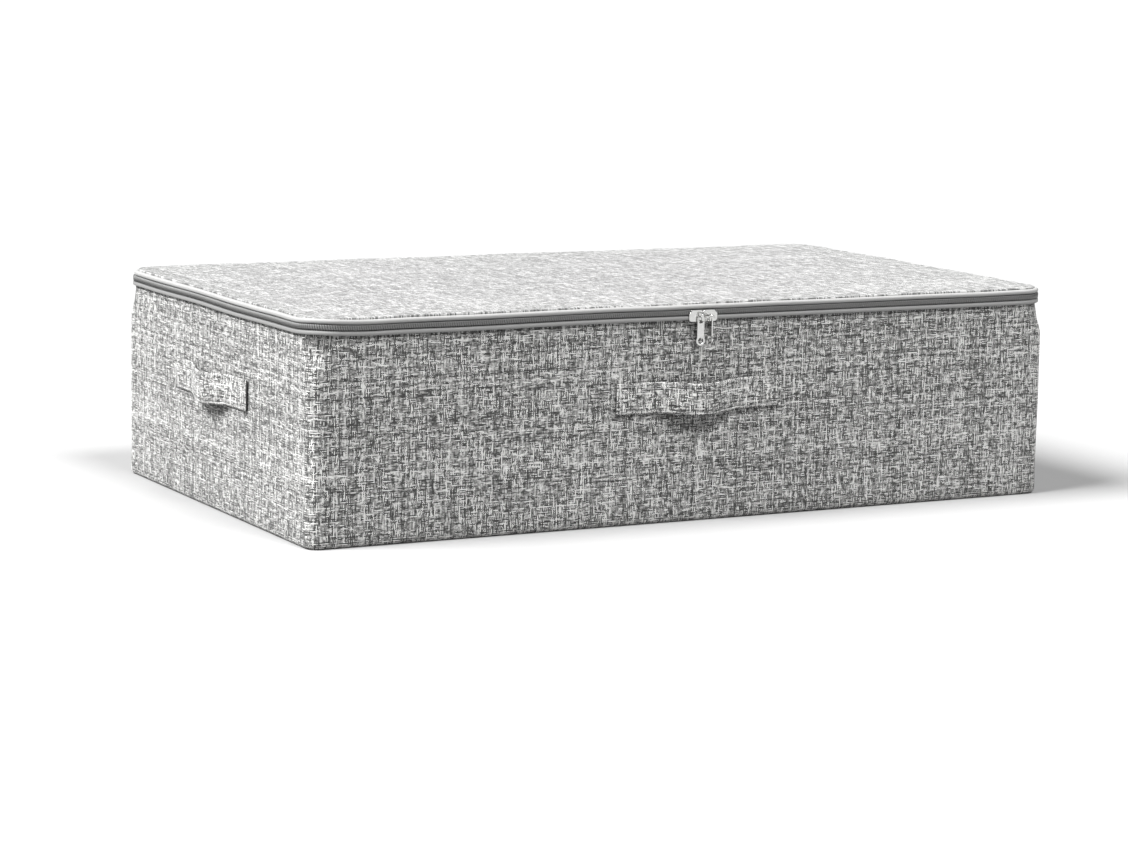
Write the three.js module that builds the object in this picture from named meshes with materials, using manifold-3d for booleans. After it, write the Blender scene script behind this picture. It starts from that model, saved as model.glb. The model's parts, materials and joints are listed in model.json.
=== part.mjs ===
// Under bed box: a low fabric storage box, stiffened with boards, closed by a zip that runs
// round three sides of its lid. Millimetres, +Z up, +X along the long side, front towards -Y.
// The origin is the centre of the underside. "Depth" below always means the distance inwards
// from the outermost face of the zip band, which is the box's largest outline in plan.

import * as THREE from "three";
import { mergeVertices } from "three/addons/utils/BufferGeometryUtils.js";
import Module from "manifold-3d";

const wasm = await Module();
wasm.setup();

// ---- driving dimensions -------------------------------------------------------------------

const LENGTH = 700;
const WIDTH = 400;
const HEIGHT = 180;
const CORNER_RADIUS = 28;
const BODY_RADIUS = 11;
const GAP = 0.3;

const FABRIC = 1.2;
const LINING = 0.8;
const BOARD = 3.0;

// the wall, from the zip band inwards
const SLEEVE_DEPTH = 2.6;
const WALL_BOARD_DEPTH = SLEEVE_DEPTH + FABRIC + GAP;
const WALL_LINING_DEPTH = WALL_BOARD_DEPTH + BOARD + GAP;
const INSIDE_DEPTH = WALL_LINING_DEPTH + LINING;

// the floor, from the ground up
const BASE_THICK = 1.5;
const FLOOR_Z = BASE_THICK + GAP;
const INSERT_Z = FLOOR_Z + LINING + GAP;
const INSERT_COVER_DEPTH = INSIDE_DEPTH + 0.7;

// the body's corners are tighter than the rim's: they grow rounder between these heights
const ROUND_START_Z = 138.0;
const ROUND_END_Z = 164.0;
const ROUND_STEPS = 6;

// the rim and the zip, from the ground up
const BOARD_TOP_Z = 164.0;
const SLEEVE_TOP_Z = 168.6;
const RIM_THICK = 1.5;
const TAPE_BOTTOM_Z = 166.0;
const MESH_LINE_Z = 171.15;
const COIL_ROW = 2.1;
const COIL_THICK = 1.4;
const TAPE_DEPTH = 1.7;
const TAPE_THICK = 0.6;
const TAPE_SETBACK = 0.4;
const ZIP_END_ANGLE = THREE.MathUtils.degToRad(75);
const END_TAB = { width: 14.5, bottom: 164.0, depth: 0.7, thick: 0.7 };

// the lid
const PIPING = 4.0;
const PIPING_ROUND = 1.1;
const PIPING_DEPTH = 0.2;
const PIPING_BOTTOM_Z = HEIGHT - PIPING;
const LID_BOARD = 2.5;
const LID_PANEL_TOP_Z = HEIGHT - 0.6;
const LID_REAR_INSET = 2.6;
const HINGE_STRIP = { length: 628, bottom: 160.0 };

// the strap handles: flat stitched ends and a middle that stands out for the hand
const STRAP_WIDTH = 26;
const STRAP_THICK = 2.0;
const STRAP_MID_Z = 105;
const STRAP_LOOP = 86;
const STRAP_BULGE = 12;
const FRONT_STRAP = 156;
const SIDE_STRAP = 150;
const STRAP_STEPS = 20;

// the sliders and their pulls
const SLIDER = { length: 13, bottom: 166.2, top: 175.6, plate: 1.2, nose: 3 };
const SLIDER_SPACING = 13.3;
const BRIDGE = { width: 1.6, bar: 1.0, reach: 3.3, height: 4.2 };
const PULL = { width: 6.6, thick: 1.1, bar: 1.0, eye: 5.2, ring: 4.2, hole: 2.5, drop: 19.5 };
const PIVOT_Z = 170.0;
// the left pull lies flat on its slider, with its cross-bar under an upright bridge
const LEFT_PULL = { x: -2.9, depth: -2.6 };
// the right pull hangs edge-on, with its eye round a level bridge
const RIGHT_PULL = { x: 4.7, depth: -5.2, lift: 1.6 };

const ARC_STEPS = 8;
const ROUND_SEGMENTS = 4;

// ---- materials ----------------------------------------------------------------------------

const finish = (color, roughness, metalness = 0) => () =>
  new THREE.MeshStandardMaterial({ color, roughness, metalness });

const linen = finish(0x8f908d, 0.95);
const lidLinen = finish(0xb4b5b2, 0.95);
const plainTape = finish(0x7d7e7c, 0.85);
const coilNylon = finish(0x6e6f6e, 0.55);
const nonwoven = finish(0xb9bab8, 0.98);
const greyboard = finish(0x9b907d, 0.9);
const nickel = finish(0xc4c5c6, 0.25, 1);

// ---- helpers ------------------------------------------------------------------------------

const group = new THREE.Group();

/** Adds one named piece to the box. */
function add(name, geometry, material) {
  const mesh = new THREE.Mesh(geometry, material());
  mesh.name = name;
  group.add(mesh);
  return mesh;
}

/** Half sizes and corner radius of a plan outline at a depth. */
const plan = (depth, r) => ({
  x: LENGTH / 2 - depth,
  front: -WIDTH / 2 + depth,
  rear: WIDTH / 2 - depth,
  r,
});

const bodyPlan = (depth) => plan(depth, BODY_RADIUS + SLEEVE_DEPTH - depth);

const rimPlan = (depth) => plan(depth, CORNER_RADIUS - depth);

/** The lid's outline: the rim's, with the rear edge a little further in to clear the hinge. */
function lidPlan(depth) {
  const outline = rimPlan(depth);
  outline.rear -= LID_REAR_INSET;
  return outline;
}

/** The rounded rectangle of the plan outline, as a closed path or shape. */
function trace(path, { x, front, rear, r }) {
  path.moveTo(-x + r, front);
  path.lineTo(x - r, front);
  path.absarc(x - r, front + r, r, -Math.PI / 2, 0, false);
  path.lineTo(x, rear - r);
  path.absarc(x - r, rear - r, r, 0, Math.PI / 2, false);
  path.lineTo(-x + r, rear);
  path.absarc(-x + r, rear - r, r, Math.PI / 2, Math.PI, false);
  path.lineTo(-x, front + r);
  path.absarc(-x + r, front + r, r, Math.PI, Math.PI * 1.5, false);
  return path;
}

const prism = (shape, bottom, top) =>
  new THREE.ExtrudeGeometry(shape, {
    depth: top - bottom,
    bevelEnabled: false,
    curveSegments: ROUND_SEGMENTS,
  }).translate(0, 0, bottom);

/** A flat panel that fills a plan outline. */
const panel = (outline, bottom, top) => prism(trace(new THREE.Shape(), outline), bottom, top);

function ringShape(outer, inner) {
  const shape = trace(new THREE.Shape(), outer);
  shape.holes.push(trace(new THREE.Path(), inner));
  return shape;
}

/** A wall round the body whose corners grow from the body's radius to the rim's near its top. */
function wallRing(depth, thick, bottom, top) {
  const round = (i) => ROUND_START_Z + ((ROUND_END_Z - ROUND_START_Z) * i) / ROUND_STEPS;
  const levels = [bottom, ...Array.from({ length: ROUND_STEPS + 1 }, (_, i) => round(i)), top];
  const geometry = new THREE.ExtrudeGeometry(ringShape(bodyPlan(depth), bodyPlan(depth + thick)), {
    depth: levels.length - 1,
    steps: levels.length - 1,
    bevelEnabled: false,
    curveSegments: ROUND_SEGMENTS,
  });
  const centreX = LENGTH / 2 - SLEEVE_DEPTH - BODY_RADIUS;
  const centreY = WIDTH / 2 - SLEEVE_DEPTH - BODY_RADIUS;
  const fullGrowth = CORNER_RADIUS - SLEEVE_DEPTH - BODY_RADIUS;
  const position = geometry.attributes.position;
  for (let i = 0; i < position.count; i += 1) {
    const z = levels[Math.round(position.getZ(i))];
    const growth = fullGrowth * THREE.MathUtils.smoothstep(z, ROUND_START_Z, ROUND_END_Z);
    const x = position.getX(i);
    const y = position.getY(i);
    const dx = Math.abs(x) - centreX;
    const dy = Math.abs(y) - centreY;
    const stretch = 1 + growth / Math.hypot(dx, dy);
    const newX = Math.sign(x) * (centreX - growth + dx * stretch);
    const newY = Math.sign(y) * (centreY - growth + dy * stretch);
    position.setXYZ(i, newX, newY, z);
  }
  return geometry;
}

/** Points along the zip's route: rear left corner, left, front, right, rear right corner. */
function zipRoute(depth) {
  const { x, front, rear, r } = rimPlan(depth);
  const arc = (cx, cy, from, to) =>
    Array.from({ length: ARC_STEPS + 1 }, (_, i) => {
      const a = from + ((to - from) * i) / ARC_STEPS;
      return new THREE.Vector2(cx + r * Math.cos(a), cy + r * Math.sin(a));
    });
  return [
    ...arc(-x + r, rear - r, Math.PI - ZIP_END_ANGLE, Math.PI),
    ...arc(-x + r, front + r, Math.PI, Math.PI * 1.5),
    ...arc(x - r, front + r, -Math.PI / 2, 0),
    ...arc(x - r, rear - r, 0, ZIP_END_ANGLE),
  ];
}

/** A strip that follows the zip's route, open along the back. */
const zipStrip = (depth, thick, bottom, top) =>
  prism(new THREE.Shape([...zipRoute(depth), ...zipRoute(depth + thick).reverse()]), bottom, top);

/** A plain board standing or lying between two corners. */
function slab(x0, x1, y0, y1, z0, z1) {
  const geometry = new THREE.BoxGeometry(x1 - x0, y1 - y0, z1 - z0);
  return geometry.translate((x0 + x1) / 2, (y0 + y1) / 2, (z0 + z1) / 2);
}

/** A wall board between two places along its wall, with its top corners cut to clear the rim. */
function wallBoard(from, to, cutFrom, cutTo) {
  const cut = CORNER_RADIUS - SLEEVE_DEPTH - BODY_RADIUS;
  const shape = new THREE.Shape();
  shape.moveTo(from, FLOOR_Z);
  shape.lineTo(to, FLOOR_Z);
  if (cutTo) shape.lineTo(to, ROUND_START_Z);
  shape.lineTo(cutTo ? to - cut : to, BOARD_TOP_Z);
  shape.lineTo(cutFrom ? from + cut : from, BOARD_TOP_Z);
  if (cutFrom) shape.lineTo(from, ROUND_START_Z);
  const board = new THREE.ExtrudeGeometry(shape, { depth: BOARD, bevelEnabled: false });
  return board.rotateX(Math.PI / 2);
}

function toSolid(geometry) {
  const bare = geometry.clone();
  bare.deleteAttribute("normal");
  bare.deleteAttribute("uv");
  const merged = mergeVertices(bare, 1e-4);
  const mesh = new wasm.Mesh({
    numProp: 3,
    vertProperties: new Float32Array(merged.attributes.position.array),
    triVerts: new Uint32Array(merged.index.array),
  });
  return new wasm.Manifold(mesh);
}

function toGeometry(solid) {
  const mesh = solid.getMesh();
  const geometry = new THREE.BufferGeometry();
  geometry.setAttribute("position", new THREE.BufferAttribute(mesh.vertProperties, 3));
  geometry.setIndex(new THREE.BufferAttribute(mesh.triVerts, 1));
  geometry.computeVertexNormals();
  return geometry;
}

// ---- the box: sleeve, boards, lining ------------------------------------------------------

function buildBox() {
  const { x, rear, r } = bodyPlan(WALL_BOARD_DEPTH);
  const endX = x - r;
  const endY = rear - r;
  const halfGap = GAP / 2;
  add("base_cover", panel(bodyPlan(SLEEVE_DEPTH), 0, BASE_THICK), nonwoven);
  add("outer_sleeve", wallRing(SLEEVE_DEPTH, FABRIC, FLOOR_Z, SLEEVE_TOP_Z), linen);
  for (const [side, y] of [["front", -rear + BOARD], ["back", rear]]) {
    const left = add(`${side}_board_left`, wallBoard(-endX, -halfGap, true, false), greyboard);
    left.position.y = y;
    const right = add(`${side}_board_right`, wallBoard(halfGap, endX, false, true), greyboard);
    right.position.y = y;
  }
  for (const [side, outside] of [["left", -x], ["right", x - BOARD]]) {
    const board = add(`${side}_board`, wallBoard(-endY, endY, true, true), greyboard);
    board.rotation.z = Math.PI / 2;
    board.position.x = outside;
  }
  add("floor_lining", panel(bodyPlan(WALL_LINING_DEPTH), FLOOR_Z, FLOOR_Z + LINING), nonwoven);
  add("wall_lining", wallRing(WALL_LINING_DEPTH, LINING, INSERT_Z, SLEEVE_TOP_Z), nonwoven);
  const rim = ringShape(rimPlan(SLEEVE_DEPTH), rimPlan(INSIDE_DEPTH));
  add("rim_binding", prism(rim, SLEEVE_TOP_Z + GAP, SLEEVE_TOP_Z + GAP + RIM_THICK), plainTape);
}

// ---- the loose base board in its fabric cover ---------------------------------------------

function buildInsert() {
  const boardDepth = INSERT_COVER_DEPTH + LINING + GAP;
  const boardTop = INSERT_Z + BOARD;
  const coverTop = boardTop + GAP + LINING;
  add("base_board", panel(bodyPlan(boardDepth), INSERT_Z, boardTop), greyboard);
  const whole = toSolid(panel(bodyPlan(INSERT_COVER_DEPTH), INSERT_Z, coverTop));
  const cutPlan = bodyPlan(INSERT_COVER_DEPTH + LINING);
  const hollow = toSolid(panel(cutPlan, INSERT_Z - BOARD, boardTop + GAP));
  add("base_board_cover", toGeometry(whole.subtract(hollow)), nonwoven);
}

// ---- the zip: tapes, coils, end tabs ------------------------------------------------------

function buildZip() {
  const halfGap = GAP / 2;
  const lowerCoil = [MESH_LINE_Z - halfGap - COIL_ROW, MESH_LINE_Z - halfGap];
  const upperCoil = [MESH_LINE_Z + halfGap, MESH_LINE_Z + halfGap + COIL_ROW];
  const lowerTape = [TAPE_BOTTOM_Z, MESH_LINE_Z - TAPE_SETBACK];
  const upperTape = [MESH_LINE_Z + TAPE_SETBACK, PIPING_BOTTOM_Z - GAP];
  add("lower_zip_tape", zipStrip(TAPE_DEPTH, TAPE_THICK, ...lowerTape), plainTape);
  add("lower_zip_coil", zipStrip(0, COIL_THICK, ...lowerCoil), coilNylon);
  add("upper_zip_tape", zipStrip(TAPE_DEPTH, TAPE_THICK, ...upperTape), plainTape);
  add("upper_zip_coil", zipStrip(0, COIL_THICK, ...upperCoil), coilNylon);
  const y = WIDTH / 2 - END_TAB.depth;
  const inner = HINGE_STRIP.length / 2;
  for (const [side, sign] of [["left", -1], ["right", 1]]) {
    const ends = [sign * inner, sign * (inner + END_TAB.width)].sort((a, b) => a - b);
    const tab = slab(...ends, y - END_TAB.thick, y, END_TAB.bottom, MESH_LINE_Z - TAPE_SETBACK);
    add(`zip_end_tab_${side}`, tab, plainTape);
  }
}

// ---- the lid and its fabric hinge ---------------------------------------------------------

function buildLid() {
  const panelDepth = PIPING_DEPTH + PIPING + GAP;
  const panelBottom = LID_PANEL_TOP_Z - FABRIC;
  const boardTop = panelBottom - GAP;
  const boardBottom = boardTop - LID_BOARD;
  const liningTop = boardBottom - GAP;
  add("lid_panel", panel(lidPlan(panelDepth), panelBottom, LID_PANEL_TOP_Z), lidLinen);
  add("lid_board", panel(lidPlan(panelDepth + BOARD), boardBottom, boardTop), greyboard);
  add("lid_lining", panel(lidPlan(panelDepth), liningTop - LINING, liningTop), nonwoven);
  const coreOuter = PIPING_DEPTH + PIPING_ROUND;
  const coreInner = PIPING_DEPTH + PIPING - PIPING_ROUND;
  const core = ringShape(lidPlan(coreOuter), lidPlan(coreInner));
  const piping = new THREE.ExtrudeGeometry(core, {
    depth: PIPING - 2 * PIPING_ROUND,
    bevelThickness: PIPING_ROUND,
    bevelSize: PIPING_ROUND,
    bevelSegments: 2,
    curveSegments: ROUND_SEGMENTS,
  });
  add("lid_piping", piping.translate(0, 0, PIPING_BOTTOM_Z + PIPING_ROUND), plainTape);
}

function buildHinge() {
  const half = HINGE_STRIP.length / 2 - GAP;
  const y = WIDTH / 2 - TAPE_DEPTH;
  const strip = (bottom, top) => slab(-half, half, y - TAPE_THICK, y, bottom, top);
  const lower = strip(HINGE_STRIP.bottom, MESH_LINE_Z - TAPE_SETBACK);
  const upper = strip(MESH_LINE_Z + TAPE_SETBACK, PIPING_BOTTOM_Z - GAP);
  add("hinge_strip_lower", lower, plainTape);
  add("hinge_strip_upper", upper, plainTape);
}

// ---- the strap handles --------------------------------------------------------------------

/** A strap seen from above: stitched flat at both ends, standing out in a smooth hump between. */
function strapGeometry(length) {
  const inner = -SLEEVE_DEPTH + GAP;
  const hump = (s) =>
    Math.abs(s) < STRAP_LOOP / 2 ? STRAP_BULGE * Math.cos((Math.PI * s) / STRAP_LOOP) ** 2 : 0;
  const stations = Array.from({ length: STRAP_STEPS + 1 }, (_, i) => STRAP_LOOP * (i / STRAP_STEPS - 0.5));
  const along = [-length / 2, ...stations, length / 2];
  const back = along.map((s) => new THREE.Vector2(s, -(inner + hump(s))));
  const face = along.map((s) => new THREE.Vector2(s, -(inner + STRAP_THICK + hump(s))));
  const shape = new THREE.Shape([...face, ...back.reverse()]);
  return prism(shape, STRAP_MID_Z - STRAP_WIDTH / 2, STRAP_MID_Z + STRAP_WIDTH / 2);
}

function buildHandles() {
  const front = add("front_handle", strapGeometry(FRONT_STRAP), linen);
  front.position.set(0, -WIDTH / 2, 0);
  const left = add("left_handle", strapGeometry(SIDE_STRAP), linen);
  left.position.set(-LENGTH / 2, 0, 0);
  left.rotation.z = -Math.PI / 2;
  const right = add("right_handle", strapGeometry(SIDE_STRAP), linen);
  right.position.set(LENGTH / 2, 0, 0);
  right.rotation.z = Math.PI / 2;
}

// ---- the sliders and pulls ----------------------------------------------------------------

/** The bridge of a slider, drawn as (along, outwards) from the face of its plate. */
function bridgeGeometry() {
  const { width, bar, reach, height } = BRIDGE;
  const near = reach - bar / 2;
  const far = reach + bar / 2;
  const outline = [
    [-far, -GAP], [-far, height - bar], [-near, height], [near, height], [far, height - bar],
    [far, -GAP], [near, -GAP], [near, height - bar], [-near, height - bar], [-near, -GAP],
  ];
  const shape = new THREE.Shape(outline.map(([u, v]) => new THREE.Vector2(u, v)));
  return new THREE.ExtrudeGeometry(shape, { depth: width, bevelEnabled: false })
    .translate(0, 0, -width / 2);
}

/** One slider with its nose towards +X: face plate, lower flange and the bridge for the pull. */
function sliderGeometry(bridgeX, upright) {
  const half = SLIDER.length / 2;
  const { bottom, top, nose, plate } = SLIDER;
  const face = new THREE.Shape();
  face.moveTo(-half, bottom + nose / 2);
  face.lineTo(-half + nose / 2, bottom);
  face.lineTo(half, bottom);
  face.lineTo(half, top - nose / 2);
  face.lineTo(half - nose / 2, top);
  face.lineTo(-half + nose, top);
  face.lineTo(-half, top - nose);
  const front = new THREE.ExtrudeGeometry(face, { depth: plate, bevelEnabled: false });
  front.rotateX(Math.PI / 2);
  front.translate(0, -GAP, 0);
  const flangeTop = MESH_LINE_Z - GAP / 2 - COIL_ROW - GAP;
  const flange = slab(-half + nose, half, -2 * GAP, COIL_THICK, bottom, flangeTop);
  // turn the drawing over to face -Y, and stand its length upright where asked
  const bridge = bridgeGeometry().rotateX(Math.PI);
  if (upright) bridge.rotateY(Math.PI / 2);
  bridge.translate(bridgeX, -GAP - plate, PIVOT_Z);
  return toGeometry(toSolid(front).add(toSolid(flange)).add(toSolid(bridge)));
}

/** One pull hanging from the middle of its cross-bar: a U-shaped eye, a blade and a ring end. */
function pullGeometry() {
  const { width, bar, eye, ring, hole, drop, thick } = PULL;
  const half = width / 2;
  const shape = new THREE.Shape();
  const startAngle = Math.asin(half / ring);
  const sideBottom = -drop + ring * Math.cos(startAngle);
  shape.moveTo(-half + bar, bar / 2);
  shape.lineTo(-half, -bar / 2);
  shape.lineTo(-half, sideBottom);
  shape.absarc(0, -drop, ring, Math.PI / 2 + startAngle, Math.PI * 2.5 - startAngle, false);
  shape.lineTo(half, -bar / 2);
  shape.lineTo(half - bar, bar / 2);
  const inner = half - bar;
  const window = new THREE.Path();
  window.moveTo(-inner, -bar / 2);
  window.lineTo(inner, -bar / 2);
  window.lineTo(inner, -eye + inner);
  window.absarc(0, -eye + inner, inner, 0, -Math.PI, true);
  shape.holes.push(window);
  const round = new THREE.Path();
  round.absarc(0, -drop, hole, 0, Math.PI * 2, true);
  shape.holes.push(round);
  const blade = new THREE.ExtrudeGeometry(shape, {
    depth: thick,
    bevelEnabled: false,
    curveSegments: ROUND_SEGMENTS,
  });
  return blade.translate(0, 0, -thick / 2).rotateX(Math.PI / 2);
}

function buildSliders() {
  const y = -WIDTH / 2;
  const centre = SLIDER_SPACING / 2;
  const left = add("slider_left", sliderGeometry(centre + LEFT_PULL.x, true), nickel);
  left.position.set(-centre, y, 0);
  const mirrored = toSolid(sliderGeometry(centre - RIGHT_PULL.x, false)).mirror([1, 0, 0]);
  const right = add("slider_right", toGeometry(mirrored), nickel);
  right.position.set(centre, y, 0);
  const leftPull = add("pull_left", pullGeometry(), nickel);
  leftPull.position.set(LEFT_PULL.x, y + LEFT_PULL.depth, PIVOT_Z);
  const rightPull = add("pull_right", pullGeometry(), nickel);
  rightPull.rotation.z = Math.PI / 2;
  rightPull.position.set(RIGHT_PULL.x, y + RIGHT_PULL.depth, PIVOT_Z + RIGHT_PULL.lift);
}

buildBox();
buildInsert();
buildZip();
buildLid();
buildHinge();
buildHandles();
buildSliders();

export default group;
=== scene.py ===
# %% [markdown]
# # An under bed storage box in slubby grey cloth
# The box is boards sewn into cloth, with a lid that zips round its front and sides. The packed
# frame gives every size, place and joint. This script adds what the eye sees: the woven cloth,
# the piping, the zip's turns, the straps with their stitches, and the nickel of the sliders.
# Lengths are metres, +Z is up and the front faces -Y. "Depth" is the distance inwards from the
# outermost outline of the zip band.

# %% Load the frame
import json
import math

import bpy
import numpy as np
from mathutils import Matrix, Vector


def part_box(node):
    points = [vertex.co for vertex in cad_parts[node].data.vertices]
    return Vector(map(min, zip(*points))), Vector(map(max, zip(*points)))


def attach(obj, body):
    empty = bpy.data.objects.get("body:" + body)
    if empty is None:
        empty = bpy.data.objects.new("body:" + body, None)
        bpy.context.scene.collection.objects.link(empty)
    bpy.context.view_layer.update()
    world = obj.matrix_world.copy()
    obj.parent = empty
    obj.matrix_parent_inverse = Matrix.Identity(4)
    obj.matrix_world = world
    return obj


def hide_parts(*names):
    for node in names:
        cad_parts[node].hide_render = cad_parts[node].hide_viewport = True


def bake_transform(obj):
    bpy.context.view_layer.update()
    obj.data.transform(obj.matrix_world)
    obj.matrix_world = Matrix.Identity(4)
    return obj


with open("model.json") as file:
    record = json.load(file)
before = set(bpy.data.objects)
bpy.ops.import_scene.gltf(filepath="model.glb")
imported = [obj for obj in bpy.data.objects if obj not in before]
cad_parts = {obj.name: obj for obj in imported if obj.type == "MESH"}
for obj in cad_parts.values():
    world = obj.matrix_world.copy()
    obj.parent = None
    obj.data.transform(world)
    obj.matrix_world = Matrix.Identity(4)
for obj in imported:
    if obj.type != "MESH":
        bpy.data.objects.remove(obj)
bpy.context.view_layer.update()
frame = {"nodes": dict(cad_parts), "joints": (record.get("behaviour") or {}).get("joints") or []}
MM = 0.001

# %% [markdown]
# ## The camera
# A long lens stands far off at the front left, a little above the lid, which keeps the box's
# edges nearly parallel. The camera could be aimed with a constraint, but its own axes are built
# here from a heading, a tilt and a slight roll, so that nothing is aimed by eye.

# %% Camera
CAMERA_PLACE = (-1.370, -2.514, 0.498)
HEADING, TILT, ROLL = (math.radians(a) for a in (-28.257, 8.848, 1.129))
LENS = 105.8

flat_part = math.cos(TILT)
back = Vector((math.sin(HEADING) * flat_part, -math.cos(HEADING) * flat_part, math.sin(TILT)))
level = Vector((0, 0, 1)).cross(back).normalized()
upright = back.cross(level)
right = level * math.cos(ROLL) + upright * math.sin(ROLL)
up = upright * math.cos(ROLL) - level * math.sin(ROLL)
camera = bpy.data.objects.new("camera", bpy.data.cameras.new("camera"))
bpy.context.scene.collection.objects.link(camera)
camera.matrix_world = Matrix.Translation(CAMERA_PLACE) @ Matrix((right, up, back)).transposed().to_4x4()
camera.data.lens = LENS
camera.data.sensor_width = 36
bpy.context.scene.camera = camera
print("camera distance to the box:", round(Vector(CAMERA_PLACE).length, 3))

# %% [markdown]
# ## Light and floor
# Two wide soft suns light the set evenly, so that the floor stays plain right to the horizon.
# The strong one comes from high on the left and makes the short side and the lid bright. The weak
# one comes from the front and above, and leaves a soft shadow under each strap. A pale world
# fills the rest.


# %% Studio
def soft_sun(name, towards, softness, strength):
    """A sun that shines from the direction `towards`, its size given as an angle in degrees."""
    sun = bpy.data.objects.new(name, bpy.data.lights.new(name, "SUN"))
    sun.data.angle = math.radians(softness)
    sun.data.energy = strength
    sun.rotation_euler = Vector(towards).to_track_quat("Z", "Y").to_euler()
    bpy.context.scene.collection.objects.link(sun)
    return sun


WORLD_STRENGTH = 0.2
soft_sun("key", (-0.63, 0.05, 0.77), 30, 10.6)
soft_sun("front_fill", (0.10, -0.56, 0.82), 18, 4.6)

world = bpy.data.worlds.new("studio")
world.use_nodes = True
sky = world.node_tree.nodes["Background"].inputs
sky["Color"].default_value = (1, 1, 1, 1)
sky["Strength"].default_value = WORLD_STRENGTH
bpy.context.scene.world = world
bpy.context.scene.view_settings.view_transform = "Standard"

FLOOR_HALF = 200.0
FLOOR_TONE = 0.268
floor_mesh = bpy.data.meshes.new("floor")
floor_corners = FLOOR_HALF * np.array([(-1, -1, 0), (1, -1, 0), (1, 1, 0), (-1, 1, 0)])
floor_mesh.from_pydata(floor_corners, [], [(0, 1, 2, 3)])
floor = bpy.data.objects.new("floor", floor_mesh)
bpy.context.scene.collection.objects.link(floor)
floor_paint = bpy.data.materials.new("floor_paint")
floor_paint.use_nodes = True
paint = floor_paint.node_tree.nodes["Principled BSDF"].inputs
paint["Base Color"].default_value = (FLOOR_TONE, FLOOR_TONE, FLOOR_TONE, 1)
paint["Roughness"].default_value = 0.9
paint["Specular IOR Level"].default_value = 0.0
floor_mesh.materials.append(floor_paint)

# %% [markdown]
# ## Node helpers
# A material is a graph of nodes, and adding one takes several calls. These helpers add a node,
# set it and link it in one line, so that the recipes below read almost like sums. A recipe that
# several cloths share is a node group, with named sockets for what differs between them.


# %% Node helpers
def new_group(name, inputs, outputs):
    """An empty shader node group with named sockets, and its input and output nodes."""
    group = bpy.data.node_groups.new(name, "ShaderNodeTree")
    for label, kind, value in inputs:
        socket = group.interface.new_socket(name=label, in_out="INPUT", socket_type=kind)
        if value is not None:
            socket.default_value = value
    for label, kind in outputs:
        group.interface.new_socket(name=label, in_out="OUTPUT", socket_type=kind)
    return group, group.nodes.new("NodeGroupInput"), group.nodes.new("NodeGroupOutput")


def put(tree, kind, settings=None, **links):
    """Adds a node, sets its properties, and feeds its sockets with links or values.

    A socket is named with _ for each space, or i0, i1 and so on for its number."""
    node = tree.nodes.new(kind)
    for key, value in (settings or {}).items():
        setattr(node, key, value)
    for key, value in links.items():
        index = int(key[1:]) if key[0] == "i" and key[1:].isdigit() else key.replace("_", " ")
        if isinstance(value, bpy.types.NodeSocket):
            tree.links.new(value, node.inputs[index])
        else:
            node.inputs[index].default_value = value
    return node


def calc(tree, operation, a, b=0.0, c=0.0):
    """One Math node's result."""
    return put(tree, "ShaderNodeMath", {"operation": operation}, i0=a, i1=b, i2=c).outputs[0]


def blend_values(tree, factor, a, b):
    """The number a at factor 0 and b at factor 1."""
    return put(tree, "ShaderNodeMix", {"data_type": "FLOAT"}, i0=factor, i2=a, i3=b).outputs[0]


def noise(tree, vector, scale, detail=2.0, dimensions="3D", roughness=0.5):
    """Fractal noise between 0 and 1, its middle at a half."""
    kind = {"noise_dimensions": dimensions}
    sizes = {"Scale": scale, "Detail": detail, "Roughness": roughness}
    return put(tree, "ShaderNodeTexNoise", kind, Vector=vector, **sizes).outputs["Fac"]


operations = bpy.types.ShaderNodeMath.bl_rna.properties["operation"].enum_items
print("sums that one Math node can do:", len(operations))

# %% [markdown]
# ## The slub weave
# Slub cloth is a plain weave of uneven threads. It could be painted as an image, but an image
# would repeat. Here each thread gets a tone of its own, that tone drifts slowly along the thread,
# and a checker decides which thread lies on top. The tone also holds painted shade: each thread
# is darker towards its sides, as if shade lay in the gaps between threads. The group holds this
# once, and each cloth sets its own pitch and contrast. It gives only a tone and a height.

# %% The slub weave group
SLUB_SHARE, SLUB_STEP, SLUB_GAIN = 0.12, 5.37, 2.5
OWN_SHARE = 0.30
CHECK_SHARE = 0.30
MIDDLE_TONE, TONE_CURVE = 0.42, 1.8
CLOUD_SCALE = 55.0
WEFT_SEED, WARP_SEED = 11.0, 47.0


def thread_tones(tree, across, along, seed):
    """Threads lie side by side by `across`; each has its own tone, and it drifts by `along`.

    The tone is a share of a random value for each thread and, for the rest, a bold noise that
    is long along the thread and new on every thread."""
    number = calc(tree, "FLOOR", across)
    seeded = calc(tree, "ADD", number, seed)
    own = put(tree, "ShaderNodeTexWhiteNoise", {"noise_dimensions": "1D"}, W=seeded)
    stretched = put(
        tree,
        "ShaderNodeCombineXYZ",
        i0=calc(tree, "MULTIPLY", along, SLUB_SHARE),
        i1=calc(tree, "MULTIPLY_ADD", number, SLUB_STEP, seed),
    )
    drift = noise(tree, stretched.outputs[0], 1.0, 3.0, "2D", 0.6)
    bold = calc(tree, "MULTIPLY_ADD", calc(tree, "SUBTRACT", drift, 0.5), SLUB_GAIN, 0.5)
    rest = calc(tree, "MULTIPLY", bold, 1 - OWN_SHARE)
    return number, calc(tree, "MULTIPLY_ADD", own.outputs["Value"], OWN_SHARE, rest)


def thread_round(tree, across):
    """The rounded height across a thread: 0 at its sides and 1 along its middle."""
    part = calc(tree, "FRACT", across)
    return calc(tree, "SINE", calc(tree, "MULTIPLY", part, math.pi))


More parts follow.
